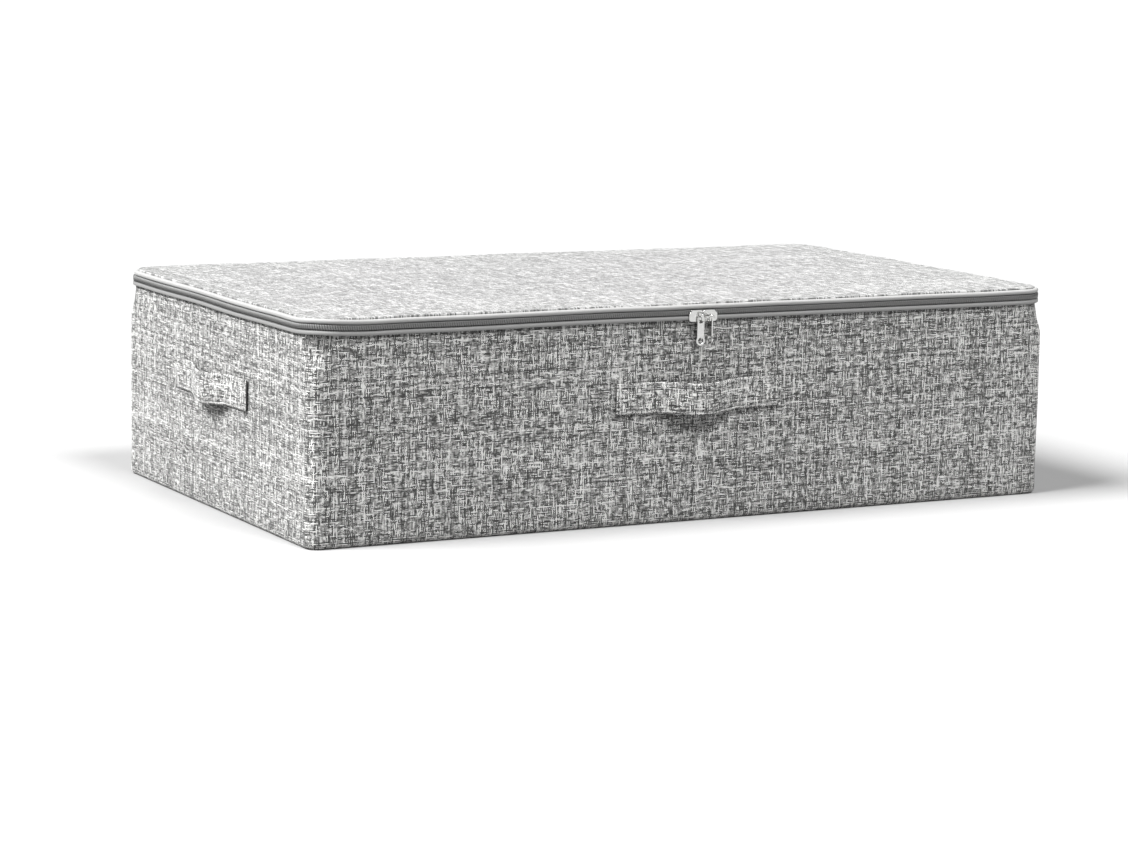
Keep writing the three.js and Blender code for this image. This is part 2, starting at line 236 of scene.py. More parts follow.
slub, slub_in, slub_out = new_group(
    "slub_weave",
    [
        ("Vector", "NodeSocketVector", None),
        ("Pitch", "NodeSocketFloat", 0.0011),
        ("Mottle", "NodeSocketFloat", 0.04),
        ("Contrast", "NodeSocketFloat", 1.6),
    ],
    [("Tone", "NodeSocketFloat"), ("Height", "NodeSocketFloat")],
)
divide = {"operation": "DIVIDE"}
flat, pitch = slub_in.outputs["Vector"], slub_in.outputs["Pitch"]
scaled = put(slub, "ShaderNodeVectorMath", divide, i0=flat, i1=pitch)
parts = put(slub, "ShaderNodeSeparateXYZ", i0=scaled.outputs[0])
across, along = parts.outputs[0], parts.outputs[1]
row, weft = thread_tones(slub, along, across, WEFT_SEED)
column, warp = thread_tones(slub, across, along, WARP_SEED)
checker = calc(slub, "MODULO", calc(slub, "ABSOLUTE", calc(slub, "ADD", row, column)), 2.0)
bold_warp = calc(slub, "ABSOLUTE", calc(slub, "SUBTRACT", warp, 0.5))
bold_weft = calc(slub, "ABSOLUTE", calc(slub, "SUBTRACT", weft, 0.5))
lead = calc(slub, "SUBTRACT", bold_warp, bold_weft)
checked = calc(slub, "MULTIPLY", calc(slub, "SUBTRACT", checker, 0.5), CHECK_SHARE)
over = calc(slub, "GREATER_THAN", calc(slub, "ADD", lead, checked), 0.0)
relief = blend_values(slub, over, thread_round(slub, along), thread_round(slub, across))
thread = blend_values(slub, over, weft, warp)
cloudy = noise(slub, flat, CLOUD_SCALE, 3.0)
clouds = calc(slub, "MULTIPLY", calc(slub, "SUBTRACT", cloudy, 0.5), slub_in.outputs["Mottle"])
# Painted shade: the thread's tone darkens towards its sides with its rounded height, as shade in the gaps.
shaded = calc(slub, "MULTIPLY", thread, calc(slub, "MULTIPLY_ADD", relief, 0.6, 0.5))
from_middle = calc(slub, "SUBTRACT", shaded, MIDDLE_TONE)
contrast = calc(slub, "MULTIPLY_ADD", from_middle, slub_in.outputs["Contrast"], MIDDLE_TONE)
even = put(slub, "ShaderNodeClamp", i0=calc(slub, "ADD", contrast, clouds)).outputs[0]
slub.links.new(calc(slub, "POWER", even, TONE_CURVE), slub_out.inputs["Tone"])
slub.links.new(calc(slub, "MULTIPLY_ADD", thread, 0.5, relief), slub_out.inputs["Height"])
print("slub weave nodes:", len(slub.nodes))

# %% [markdown]
# ## The fine weave
# Zip tape, piping and lining are finer and more even than slub cloth. The same group could serve
# them, but their threads are too small to tell apart. So a second, cheaper group draws small
# ribs in two directions with a little fibre noise, at a pitch and a slant that each cloth sets.
# The ribs are painted shade in the tone: lighter along each rib's middle and darker between ribs.

# %% The fine weave group
RIB_SHADE_SHARE, FIBRE_SHARE, PATCH_SHARE = 0.4, 0.4, 0.2
PATCH_SCALE = 90.0

fine, fine_in, fine_out = new_group(
    "fine_weave",
    [
        ("Vector", "NodeSocketVector", None),
        ("Pitch", "NodeSocketFloat", 0.0005),
        ("Slant", "NodeSocketFloat", 0.0),
    ],
    [("Tone", "NodeSocketFloat"), ("Height", "NodeSocketFloat")],
)
flat, pitch = fine_in.outputs["Vector"], fine_in.outputs["Pitch"]
scaled = put(fine, "ShaderNodeVectorMath", divide, i0=flat, i1=pitch)
parts = put(fine, "ShaderNodeSeparateXYZ", i0=scaled.outputs[0])
slanted = calc(fine, "MULTIPLY_ADD", parts.outputs[1], fine_in.outputs["Slant"], parts.outputs[0])
ribs = calc(fine, "MULTIPLY", thread_round(fine, slanted), thread_round(fine, parts.outputs[1]))
fibre = noise(fine, scaled.outputs[0], 0.8, 3.0)
patches = calc(fine, "MULTIPLY", noise(fine, flat, PATCH_SCALE, 2.0), PATCH_SHARE)
soft_tone = calc(fine, "MULTIPLY_ADD", fibre, FIBRE_SHARE, patches)
# Painted shade: the ribs' rounded height darkens the tone between ribs and lightens their middles.
fine.links.new(calc(fine, "MULTIPLY_ADD", ribs, RIB_SHADE_SHARE, soft_tone), fine_out.inputs["Tone"])
fine.links.new(calc(fine, "MULTIPLY_ADD", fibre, FIBRE_SHARE, ribs), fine_out.inputs["Height"])
print("fine weave nodes:", len(fine.nodes))

# %% [markdown]
# ## Materials
# Every cloth is a Principled shader whose colour runs between a dark and a light thread colour
# by the group's tone, with the group's height as bump. The cloth's coordinates are each piece's
# own UV map, laid out in metres along the surface, so the weave turns every corner unbroken.


# %% Cloth materials
def ramp_colour(tree, factor, dark, light):
    """A colour between dark at 0 and light at 1."""
    node = put(tree, "ShaderNodeMix", {"data_type": "RGBA"}, i0=factor, i6=(*dark, 1), i7=(*light, 1))
    return node.outputs[2]


def cloth(name, group, dark, light, bump, roughness, sheen, **group_values):
    """A woven material: thread colours from dark to light, bump in metres, and a soft sheen."""
    material = bpy.data.materials.new(name)
    material.use_nodes = True
    tree = material.node_tree
    shader = tree.nodes["Principled BSDF"]
    shader.inputs["Sheen Weight"].default_value = sheen
    shader.inputs["Roughness"].default_value = roughness
    uv = put(tree, "ShaderNodeUVMap", {"uv_map": "cloth"})
    weave = put(tree, "ShaderNodeGroup", {"node_tree": group}, Vector=uv.outputs[0], **group_values)
    tree.links.new(ramp_colour(tree, weave.outputs["Tone"], dark, light), shader.inputs["Base Color"])
    relief = put(tree, "ShaderNodeBump", Strength=0.7, Distance=bump, Height=weave.outputs["Height"])
    tree.links.new(relief.outputs[0], shader.inputs["Normal"])
    return material


DARK_THREAD = (0.022, 0.022, 0.0213)
SLUB = {"bump": 0.3 * MM, "roughness": 0.92, "sheen": 0.1, "Pitch": 0.9 * MM, "Contrast": 1.6}
PLAIN = {"bump": 0.1 * MM, "roughness": 0.9, "sheen": 0.1, "Slant": 0.0}
wall_cloth = cloth("slub_cloth_wall", slub, DARK_THREAD, (0.55, 0.55, 0.538), **SLUB)
# Painted light: the strap's cloth is the wall's cloth with a lighter thread colour, as if more light fell
# on it.
strap_cloth_painted_light = cloth("slub_cloth_strap_painted_light", slub, DARK_THREAD, (0.66, 0.66, 0.645), **SLUB)
lid_cloth = cloth(
    "slub_cloth_lid", slub, (0.055, 0.055, 0.054), (0.33, 0.33, 0.326),
    bump=0.3 * MM, roughness=0.95, sheen=0.25, Pitch=1.15 * MM, Contrast=2.1, Mottle=0.6,
)
piping_cloth = cloth(
    "piping_cloth", fine, (0.17, 0.17, 0.168), (0.30, 0.30, 0.296),
    bump=0.1 * MM, roughness=0.7, sheen=0.1, Pitch=0.5 * MM, Slant=1.0,
)
tape_cloth = cloth(
    "zip_tape", fine, (0.10, 0.10, 0.099), (0.23, 0.23, 0.227),
    bump=0.15 * MM, roughness=0.75, sheen=0.05, Pitch=0.7 * MM, Slant=0.6,
)
lining_cloth = cloth(
    "lining_cloth", fine, (0.095, 0.095, 0.094), (0.17, 0.17, 0.168), Pitch=0.9 * MM, **PLAIN
)
base_cloth = cloth(
    "base_cloth", fine, (0.10, 0.10, 0.099), (0.19, 0.19, 0.188), Pitch=1.1 * MM, **PLAIN
)
thread_cloth = cloth(
    "sewing_thread", fine, (0.26, 0.26, 0.256), (0.44, 0.44, 0.433),
    bump=0.05 * MM, roughness=0.6, sheen=0.0, Pitch=0.4 * MM, Slant=1.5,
)
print("cloths:", [m.name for m in bpy.data.materials if "cloth" in m.name or "tape" in m.name])

# %% [markdown]
# The hard parts have no weave. Nickel is worn a little smooth in places, nylon is slightly
# cloudy, and greyboard is pressed from waste fibre. One noise for colour and a slower one for
# gloss, both on the piece's own coordinates, are enough for all three.


# %% Nickel, nylon and board
def object_noise(tree, scale, detail=3.0):
    """Noise on the piece's own coordinates, so it stays with the piece when that moves."""
    place = put(tree, "ShaderNodeTexCoord")
    return noise(tree, place.outputs["Object"], scale, detail)


def plain_material(name, roughness, metallic=0.0):
    """A material with one gloss all over; returns it, its node tree and its shader."""
    material = bpy.data.materials.new(name)
    material.use_nodes = True
    shader = material.node_tree.nodes["Principled BSDF"]
    shader.inputs["Metallic"].default_value = metallic
    shader.inputs["Roughness"].default_value = roughness
    return material, material.node_tree, shader


def varied(tree, shader, dark, light, scale, rough_low, rough_high, bump):
    """Colour, roughness and a faint bump that vary with one noise over the piece."""
    grain = object_noise(tree, scale)
    tree.links.new(ramp_colour(tree, grain, dark, light), shader.inputs["Base Color"])
    smear = object_noise(tree, scale * 0.3)
    tree.links.new(blend_values(tree, smear, rough_low, rough_high), shader.inputs["Roughness"])
    relief = put(tree, "ShaderNodeBump", Strength=0.5, Distance=bump, Height=grain)
    tree.links.new(relief.outputs[0], shader.inputs["Normal"])


nickel, tree, shader = plain_material("polished_nickel", 0.2, 1.0)
varied(tree, shader, (0.56, 0.56, 0.55), (0.78, 0.78, 0.77), 500.0, 0.12, 0.30, 0.03 * MM)
nylon, tree, shader = plain_material("zip_nylon", 0.5)
varied(tree, shader, (0.08, 0.08, 0.079), (0.15, 0.15, 0.148), 1500.0, 0.35, 0.6, 0.03 * MM)
greyboard, tree, shader = plain_material("greyboard", 0.9)
varied(tree, shader, (0.17, 0.15, 0.115), (0.29, 0.26, 0.21), 400.0, 0.85, 0.98, 0.1 * MM)
print("hard materials:", nickel.name, nylon.name, greyboard.name)

# %% [markdown]
# ## Surfaces from grids
# Each piece is a grid of points: one direction runs along a route, the other round a closed
# profile. A grid becomes a mesh with one quad per cell, capped where the route is open, and a UV
# map in metres. If its volume comes out negative the faces are turned round.


# %% Grid to mesh
def grid_faces(nu, nv, close_u, close_v):
    """Corner indices of the quads of an nu by nv grid, and the cell of each, as arrays."""
    i = np.arange(nu if close_u else nu - 1)
    j = np.arange(nv if close_v else nv - 1)
    i, j = (a.ravel() for a in np.meshgrid(i, j, indexing="ij"))
    i1, j1 = (i + 1) % nu, (j + 1) % nv
    quads = np.stack([i * nv + j, i1 * nv + j, i1 * nv + j1, i * nv + j1], 1)
    return quads, i, j


def signed_volume(points, quads):
    """The volume inside a closed mesh of quads, positive when its faces point out."""
    a, b, c, d = (points[quads[:, k]] for k in range(4))
    halves = np.einsum("ij,ij->i", a, np.cross(b, c)) + np.einsum("ij,ij->i", a, np.cross(c, d))
    return halves.sum() / 6


def grid_piece(name, grid, u, v, material, close_u=False, close_v=True):
    """A piece from a grid of points (nu, nv, 3): one quad per cell, and a cap at each open end.

    u and v give the cloth's place in metres at each row and column, one more where it closes."""
    nu, nv = grid.shape[:2]
    points = grid.reshape(-1, 3)
    quads, i, j = grid_faces(nu, nv, close_u, close_v)
    u = u if u.ndim > 1 else np.repeat(u[:, None], nv + 1, 1)
    corner_u = u[[i, i + 1, i + 1, i], [j, j, j + 1, j + 1]]
    corner_v = v[[j, j, j + 1, j + 1]]
    uv = np.stack([corner_u, corner_v], -1).transpose(1, 0, 2)
    turned = signed_volume(points - points.mean(0), quads) < 0
    if turned:
        quads, uv = quads[:, ::-1], uv[:, ::-1]
    faces = quads.tolist()
    caps = []
    if close_v and not close_u:
        first, last = list(range(nv)), list(range((nu - 1) * nv, nu * nv))
        caps = [first[::-1], last] if turned else [first, last[::-1]]
    mesh = bpy.data.meshes.new(name)
    mesh.from_pydata(points, [], faces + caps)
    layer = mesh.uv_layers.new(name="cloth")
    flat = np.zeros((len(mesh.loops), 2), np.float32)
    flat[: 4 * len(quads)] = uv.reshape(-1, 2)
    layer.data.foreach_set("uv", flat.ravel())
    mesh.polygons.foreach_set("use_smooth", np.ones(len(mesh.polygons), bool))
    mesh.materials.append(material)
    mesh.validate()
    piece = bpy.data.objects.new(name, mesh)
    bpy.context.scene.collection.objects.link(piece)
    return piece


def settle(piece, body, slot, *nodes):
    """Hands a piece to the frame: the nodes it stands for, the body it rides on and its slot, which is not
    used.
    """
    if nodes:
        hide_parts(*nodes)
    if body:
        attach(piece, body)
    print(f"{piece.name}: {len(piece.data.polygons)} faces on {body}")
    return piece


print("a 3 by 4 ring has", len(grid_faces(3, 4, False, True)[0]), "quads")

# %% [markdown]
# ## Routes round the box
# In plan the box is a rectangle with round corners. A route is a list of stations: each lies on
# a corner's arc, or part of the way from one arc's end to the next arc's start. Because the
# corners share their centres at every depth, one route serves the wall, the zip and the lining.

# %% Routes
HALF_X, HALF_Y = 0.350, 0.200
BODY_ROUND, RIM_ROUND = 11 * MM, 25.4 * MM
SLEEVE_DEPTH = HALF_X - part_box("outer_sleeve")[1].x
ARC_CENTRE = 28 * MM
CORNER_SIGNS = np.array([(-1, 1), (-1, -1), (1, -1), (1, 1)])
QUARTER = math.pi / 2


def route(first_angle, last_angle, arc_steps=14, straight=0.006):
    """Stations from one angle to another: 90 to 180 degrees is the rear left corner, and 360 to
    450 the rear right. a and b are the corners before and after, and t the way between them."""
    a, b, angle, t = [], [], [], []
    for corner in range(4):
        low, high = QUARTER * (corner + 1), QUARTER * (corner + 2)
        low, high = max(low, first_angle), min(high, last_angle)
        angles = np.linspace(low, high, arc_steps)
        a.append(np.full(arc_steps, corner))
        b.append(np.full(arc_steps, corner))
        angle.append(angles)
        t.append(np.zeros(arc_steps))
        closed = last_angle - first_angle > 2 * math.pi - 1e-6
        if corner < 3 or closed:
            side = HALF_Y if corner % 2 == 0 else HALF_X
            count = int(2 * side / straight)
            a.append(np.full(count, corner))
            b.append(np.full(count, (corner + 1) % 4))
            angle.append(np.full(count, high))
            t.append(np.arange(1, count + 1) / (count + 1))
    a, b, angle, t = (np.concatenate(x) for x in (a, b, angle, t))
    return {"a": a, "b": b, "angle": angle, "t": t}


ROUND_TRIP = route(QUARTER, QUARTER * 5)
ZIP_END = math.radians(75)
ZIP_TRIP = route(math.pi - ZIP_END, 2 * math.pi + ZIP_END)


def place(trip, depth, radius, z, rear=0.0):
    """Points (stations, profile, 3) and their outward normals, from each profile point's depth,
    corner radius and height. Each is its corner's centre plus the radius along the normal.

    rear moves the back wall forwards."""
    shape = np.broadcast(depth, radius, z).shape
    depth, radius, z = (np.broadcast_to(np.asarray(x, float), shape) for x in (depth, radius, z))
    centre_x, centre_y = HALF_X - depth - radius, HALF_Y - depth - radius
    outward = np.stack([np.cos(trip["angle"]), np.sin(trip["angle"])], -1)

    def corner(index):
        """The points if every station lay on the arc of its corner."""
        sign = CORNER_SIGNS[index]
        x = sign[:, :1] * centre_x + radius * outward[:, :1]
        back_shift = np.where(sign[:, 1:] > 0, rear, 0.0)
        y = sign[:, 1:] * centre_y - back_shift + radius * outward[:, 1:]
        return x, y

    (xa, ya), (xb, yb) = corner(trip["a"]), corner(trip["b"])
    t = trip["t"][:, None]
    grid = np.stack([xa + t * (xb - xa), ya + t * (yb - ya), np.broadcast_to(z, xa.shape)], -1)
    normal = np.stack([outward[:, :1], outward[:, 1:], np.zeros((len(outward), 1))], -1)
    return grid, normal


def thread_place(trip, depth, radius, closed):
    """Where each point lies along the cloth. On a straight wall it is the distance from the
    wall's middle, whatever the corner's radius, so that upright threads stay upright."""
    half = np.array([HALF_Y, HALF_X, HALF_Y, HALF_X])
    reach = half[:, None] - depth - radius
    own = half - SLEEVE_DEPTH - BODY_ROUND
    middle = np.concatenate([[0], np.cumsum(own[:-1] + QUARTER * BODY_ROUND + own[1:])])
    last = middle[0] - own[0] - QUARTER * BODY_ROUND - own[3]
    before = np.concatenate([[last], middle[:-1]])
    a, t = trip["a"], trip["t"][:, None]
    f = (trip["angle"] / QUARTER - 1 - a)[:, None]
    arc_start = before[a][:, None] + np.roll(reach, 1, 0)[a]
    arc_end = middle[a][:, None] - reach[a]
    u = (1 - f) * arc_start + f * arc_end + 2 * t * reach[a]
    end = middle[3] + reach[3:]
    u = np.concatenate([u, end]) if closed else u
    return np.concatenate([u, u[:, :1]], 1)


def lengths(points, closed):
    """Distance walked along a line of points, one more value than points where the line closes."""
    steps = np.roll(points, -1, 0) - points if closed else np.diff(points, axis=0)
    return np.concatenate([[0.0], np.cumsum(np.linalg.norm(steps, axis=-1))])


def around(name, trip, depth, radius, z, material, closed=True, rear=0.0, shape=None):
    """A closed profile carried along a route; shape may move the points along their normals."""
    grid, normal = place(trip, depth, radius, z, rear)
    walked = lengths(grid[:, 0], closed)
    depth, radius, z = np.broadcast_arrays(*(np.asarray(x, float) for x in (depth, radius, z)))
    u = thread_place(trip, depth, radius, closed)
    profile = np.stack([depth, z], -1)
    v = lengths(profile, True)
    if shape is not None:
        grid = shape(grid, normal, walked[: len(grid)])
    return grid_piece(name, grid, u, v, material, close_u=closed)


print("stations round the box:", len(ROUND_TRIP["t"]), "and along the zip:", len(ZIP_TRIP["t"]))

# %% [markdown]
# ## The sleeve
# One band of cloth covers all four walls. It could come from a cloth simulation, but boards keep
# it flat, so it is a profile carried round the box. Only small things show that it is cloth:
# slow waves, a soft turn under at the floor, corners that grow rounder towards the zip, faint
# puckers under the zip's stitching, and a fold down the middle of the front and back where the
# boards meet.

# %% Sleeve
sleeve_low, sleeve_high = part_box("outer_sleeve")
SLEEVE_THICK = 0.5 * MM
SLEEVE_TOP = sleeve_high.z
ROUND_START, ROUND_END = 0.138, 0.164
HEM_ROUND = 4.5 * MM


def smooth(x, low, high):
    """0 below low, 1 above high, and an S-shaped rise between."""
    t = np.clip((x - low) / (high - low), 0, 1)
    return t * t * (3 - 2 * t)


def zip_wave(x, y):
    """How far the zip band rides up or down: a slow wave on the sides, none at the sliders or
    the back, and a soft kink made of a rise and a dip at the front left corner."""
    free = (1 - np.exp(-((x / 0.05) ** 2))) * (1 - smooth(y, 0.12, 0.17))
    slow = 0.35 * MM * np.sin(17 * x + 23 * y + 1.5 * np.sin(9 * x - 11 * y))
    rise = 0.9 * MM * np.exp(-((x + 0.338) ** 2 + (y + 0.19) ** 2) / 0.02**2)
    dip = 0.6 * MM * np.exp(-((x + 0.300) ** 2 + (y + 0.20) ** 2) / 0.025**2)
    return slow * free + rise - dip


def with_zip(grid, *rest):
    """Moves a grid's points up or down with the zip band."""
    grid = grid.copy()
    grid[..., 2] += zip_wave(grid[..., 0], grid[..., 1])
    return grid


def body_round(z, depth):
    """The plan corner radius of the wall at a height, less the extra depth inside its face."""
    outside = BODY_ROUND + (RIM_ROUND - BODY_ROUND) * smooth(z, ROUND_START, ROUND_END)
    return np.maximum(outside - (depth - SLEEVE_DEPTH), 0.5 * MM)


def wall_waves(grid, normal, u):
    """Slow waves of the cloth over its boards, in metres inwards, and puckers just under the zip."""
    x, y, z = grid[..., 0], grid[..., 1], grid[..., 2]
    s = u[:, None]
    slow = np.sin(s * 21 + 2.0 * np.sin(z * 31)) * np.sin(z * 24 + 1.3 * np.sin(s * 9))
    slow += 0.6 * np.sin(s * 47 + z * 60)
    amount = 0.16 * MM * (slow + 1.6) * smooth(z, 0.006, 0.03) * (1 - smooth(z, 0.150, 0.166))
    pucker = 0.16 * MM * (1 + np.sin(s * 330 + 2 * np.sin(s * 41))) * smooth(z, 0.146, 0.163)
    fold = np.exp(-((x / (1.6 * MM)) ** 2)) * (1 - smooth(z, 0.045, 0.13)) * smooth(z, 0.0, 0.01)
    beside = np.exp(-(((np.abs(x) - 9 * MM) / (7 * MM)) ** 2)) * (1 - smooth(z, 0.05, 0.12))
    facing = (np.abs(normal[..., 1]) > 0.99) * 1.0
    return amount + pucker + facing * (0.55 * MM * fold - 0.12 * MM * beside)


def sleeve_shape(grid, normal, u):
    """The sleeve with its waves, its top edge riding with the zip."""
    grid = grid - wall_waves(grid, normal, u)[..., None] * normal
    grid[..., 2] += zip_wave(grid[..., 0], grid[..., 1]) * smooth(grid[..., 2], 0.150, 0.167)
    return grid


turn = np.linspace(0, QUARTER, 6)
hem_z, hem_d = HEM_ROUND * (1 - np.cos(turn[:-1])), HEM_ROUND * (1 - np.sin(turn[:-1]))
face_z = np.linspace(HEM_ROUND, ROUND_START, 24)[:-1]
flare_z = np.linspace(ROUND_START, SLEEVE_TOP, 12)
inner_z = np.array([SLEEVE_TOP, 0.150, 0.08, 0.01, 2.0 * MM, 0.9 * MM])
inner_d = np.array([1, 1, 1, 1, 3.6, 5.6]) * SLEEVE_THICK
sleeve_z = np.concatenate([hem_z, face_z, flare_z, inner_z])
sleeve_d = SLEEVE_DEPTH + np.concatenate([hem_d, np.zeros(len(face_z) + len(flare_z)), inner_d])
sleeve_round = body_round(sleeve_z, sleeve_d)
sleeve = around("sleeve", ROUND_TRIP, sleeve_d, sleeve_round, sleeve_z, wall_cloth, shape=sleeve_shape)
settle(sleeve, "box", "linen", "outer_sleeve")

# %% [markdown]
# ## Flat panels
# The lid's cloth, the linings and the underside fill the same rounded outline. A panel is a
# rectangular grid whose rows narrow near the ends to follow the round corners, once for its top
# and once for its bottom, joined by a rim. A height function gives each its swell and waves.


# %% Panel builder
EDGE_STEPS = np.array([0, 0.15, 0.4, 0.8, 1.3, 2.0, 3.0, 4.5]) * MM


def outline_rows(half_x, half_y, radius, rows, columns):
    """A grid over a rounded rectangle, fine near its edge.

    Each row is as wide as the outline is at its place: inside a corner, the half width is
    half_x - radius + sqrt(radius^2 - the distance past the arc's centre^2)."""
    arc = radius * (1 - np.sin(np.linspace(0, QUARTER, 9)[:-3]))
    near = half_y - np.unique(np.concatenate([EDGE_STEPS, arc]))
    middle = np.linspace(-near[-1], near[-1], rows)[1:-1]
    y = np.concatenate([-near, middle, near[::-1]])
    inside = np.clip((np.abs(y) - (half_y - radius)) / radius, 0, 1)
    width = half_x - radius + radius * np.sqrt(1 - inside**2)
    side = 1 - EDGE_STEPS / half_x
    share = np.concatenate([-side, np.linspace(-side[-1], side[-1], columns)[1:-1], side[::-1]])
    return share[:, None] * width[None, :], np.broadcast_to(y[None, :], (len(share), len(y)))


def edge_distance(x, y, half_x, half_y, radius):
    """How far inside the rounded outline a point lies."""
    qx, qy = np.abs(x) - (half_x - radius), np.abs(y) - (half_y - radius)
    outside = np.hypot(np.maximum(qx, 0), np.maximum(qy, 0))
    return radius - outside - np.minimum(np.maximum(qx, qy), 0)


def panel_piece(name, half, radius, top, bottom, material, shift_y=0.0, grid=(60, 110), spill=None):
    """A closed panel between the height functions top and bottom of (x, y, distance to the edge).

    Where spill is given, its top bulges outwards by spill(distance to the edge)."""
    half_x, half_y = half
    x, y = outline_rows(half_x, half_y, radius, *grid)
    inside = edge_distance(x, y, half_x, half_y, radius)
    nu, nv = x.shape
    out = spill(inside) if spill else 0.0
    wide_x, wide_y = x * (1 + out / half_x), y * (1 + out / half_y)
    upper = np.stack([wide_x, wide_y + shift_y, top(x, y, inside)], -1).reshape(-1, 3)
    lower = np.stack([x, y + shift_y, bottom(x, y, inside)], -1).reshape(-1, 3)
    quads, _, _ = grid_faces(nu, nv, False, False)
    index = np.arange(nu * nv).reshape(nu, nv)
    rim = np.concatenate([index[:-1, 0], index[-1, :-1], index[1:, -1][::-1], index[0, 1:][::-1]])
    after = np.roll(rim, -1)
    under = nu * nv
    sides = np.stack([rim + under, after + under, after, rim], 1)
    faces = np.concatenate([quads, quads[:, ::-1] + under, sides])
    points = np.concatenate([upper, lower])
    mesh = bpy.data.meshes.new(name)
    mesh.from_pydata(points, [], faces.tolist())
    layer = mesh.uv_layers.new(name="cloth")
    corner_points = points[faces.ravel()][:, :2].copy()
    rim_corners = np.arange(len(corner_points)) >= 8 * len(quads)
    corner_points[rim_corners] += points[faces.ravel()][rim_corners][:, 2:]
    layer.data.foreach_set("uv", corner_points.astype(np.float32).ravel())
    mesh.polygons.foreach_set("use_smooth", np.ones(len(mesh.polygons), bool))
    mesh.materials.append(material)
    piece = bpy.data.objects.new(name, mesh)
    bpy.context.scene.collection.objects.link(piece)
    return piece


def level_at(z):
    """A height function that is flat at z."""
    return lambda x, y, inside: np.full(x.shape, z)


print("steps in from a panel's edge, in mm:", (EDGE_STEPS / MM).round(2))

# %% [markdown]
# ## The lid's cloth
# The lid's cloth is drawn over a board and sewn into the piping. It rolls down steeply into the
# seam beside the piping, swells a little over the board, and lies in very shallow uneven waves.
# A flat sheet with a bump map would lose the roll, which is what makes the seam a dark line.

# %% Lid panel
panel_low, panel_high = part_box("lid_panel")
LID_SHIFT = (panel_low.y + panel_high.y) / 2
LID_HALF = (panel_high.x, (panel_high.y - panel_low.y) / 2)
LID_ROUND = 23.5 * MM
LID_GRID = (110, 190)
VALLEY, EDGE_RISE, EDGE_ROUND = 1.8 * MM, 1.8 * MM, 2.0 * MM
ROLL_OUT, ROLL_WIDTH = 1.3 * MM, 2.6 * MM


def lid_top(x, y, inside):
    """A quarter-round edge that stands above the piping, then a shallow swell with slow waves,
    and puckers that fade away from the edge."""
    edge = np.clip(inside / EDGE_ROUND, 0, 1)
    lip = np.sqrt(1 - (1 - edge) ** 2)
    swell = 0.8 * MM * smooth(inside, 0.002, 0.05)
    slow = np.sin(x * 19 + 1.7 * np.sin(y * 13)) * np.cos(y * 27 + 1.1 * np.sin(x * 11))
    waves = 0.30 * MM * (slow + 0.5 * np.sin(x * 43 - y * 31))
    near_edge = 1 - smooth(inside, 0.004, 0.035)
    pucker = 0.22 * MM * np.sin(x * 210 + 3 * np.sin(x * 37)) * np.cos(y * 190) * near_edge
    return panel_high.z - VALLEY + lip * (VALLEY + EDGE_RISE + swell + waves + pucker)


def lid_roll(inside):
    """The edge's outward roll over the piping: a half sine across ROLL_WIDTH, made blunter."""
    return ROLL_OUT * np.sin(np.pi * np.clip(inside / ROLL_WIDTH, 0, 1)) ** 0.7


lid_under = level_at(panel_low.z)
lid_panel = panel_piece(
    "lid_cloth_panel", LID_HALF, LID_ROUND, lid_top, lid_under, lid_cloth, LID_SHIFT, LID_GRID, lid_roll
)
settle(lid_panel, "lid", "linen", "lid_panel")

# %% [markdown]
# ## Linings, underside and the insert's cover
# The lid and the floor are lined with a thin plain sheet, and the underside is a tougher one.
# The loose base board has a cover of its own. The same panel builder makes all four, with a
# height function for what little shape each has.

# %% Linings, base cover and the insert's cover
lining_low, lining_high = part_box("lid_lining")
LINING_SAG = 0.15 * MM
BASE_ROUND, FLOOR_ROUND = 8 * MM, 6 * MM
BASE_INSET = HEM_ROUND + 1.5 * MM


def slack(z, depth):
    """A height function for a lining that sags by depth in the middle, in slow waves."""

    def height(x, y, inside):
        """The sag grows away from the edge and is uneven by half."""
        uneven = 1 + 0.5 * np.sin(x * 23 + y * 9) * np.cos(y * 31 - x * 5)
        return z - depth * smooth(inside, 0.005, 0.12) * uneven

    return height


lining_top, lining_under = level_at(lining_high.z), slack(lining_low.z, LINING_SAG)
lid_lining = panel_piece(
    "lid_lining_cloth", LID_HALF, LID_ROUND, lining_top, lining_under, lining_cloth, LID_SHIFT
)
settle(lid_lining, "lid", "nonwoven", "lid_lining")

base_low, base_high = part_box("base_cover")
base_half = (base_high.x - BASE_INSET, base_high.y - BASE_INSET)
base_top, base_under = level_at(base_high.z), level_at(base_low.z)
base_cover = panel_piece("base_cloth_panel", base_half, BASE_ROUND, base_top, base_under, base_cloth)
settle(base_cover, "box", "nonwoven", "base_cover")

floor_low, floor_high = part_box("floor_lining")
floor_top, floor_under = level_at(floor_high.z), level_at(floor_low.z)
floor_half = (floor_high.x, floor_high.y)
floor_lining = panel_piece(
    "floor_lining_cloth", floor_half, FLOOR_ROUND, floor_top, floor_under, lining_cloth
)
settle(floor_lining, "box", "nonwoven", "floor_lining")

insert_low, insert_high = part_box("base_board_cover")
INSERT_DROP, INSERT_EDGE = 2.2 * MM, 5 * MM


def insert_top(x, y, inside):
    """The cover's top rounds down at its edge and lies in faint waves over the board."""
    waves = 0.12 * MM * np.sin(x * 17 + y * 7) * np.cos(y * 21)
    drop = INSERT_DROP * (1 - smooth(inside, 0, INSERT_EDGE))
    return insert_high.z - drop + waves * smooth(inside, 0.01, 0.04)


insert_half, insert_under = (insert_high.x, insert_high.y), level_at(insert_low.z)
insert_cover = panel_piece(
    "insert_cover_cloth", insert_half, FLOOR_ROUND, insert_top, insert_under, lining_cloth
)
settle(insert_cover, "base_insert", "nonwoven", "base_board_cover", "base_board")

# %% [markdown]
# ## Wall lining and rim binding
# Inside, a thin lining covers the boards. A folded tape is sewn over the raw top edges of the
# sleeve and the lining, and shows as a neat lip when the lid is open. Both are profiles on the
# sleeve's own route, the lining a thin strip and the tape a squared-off round.

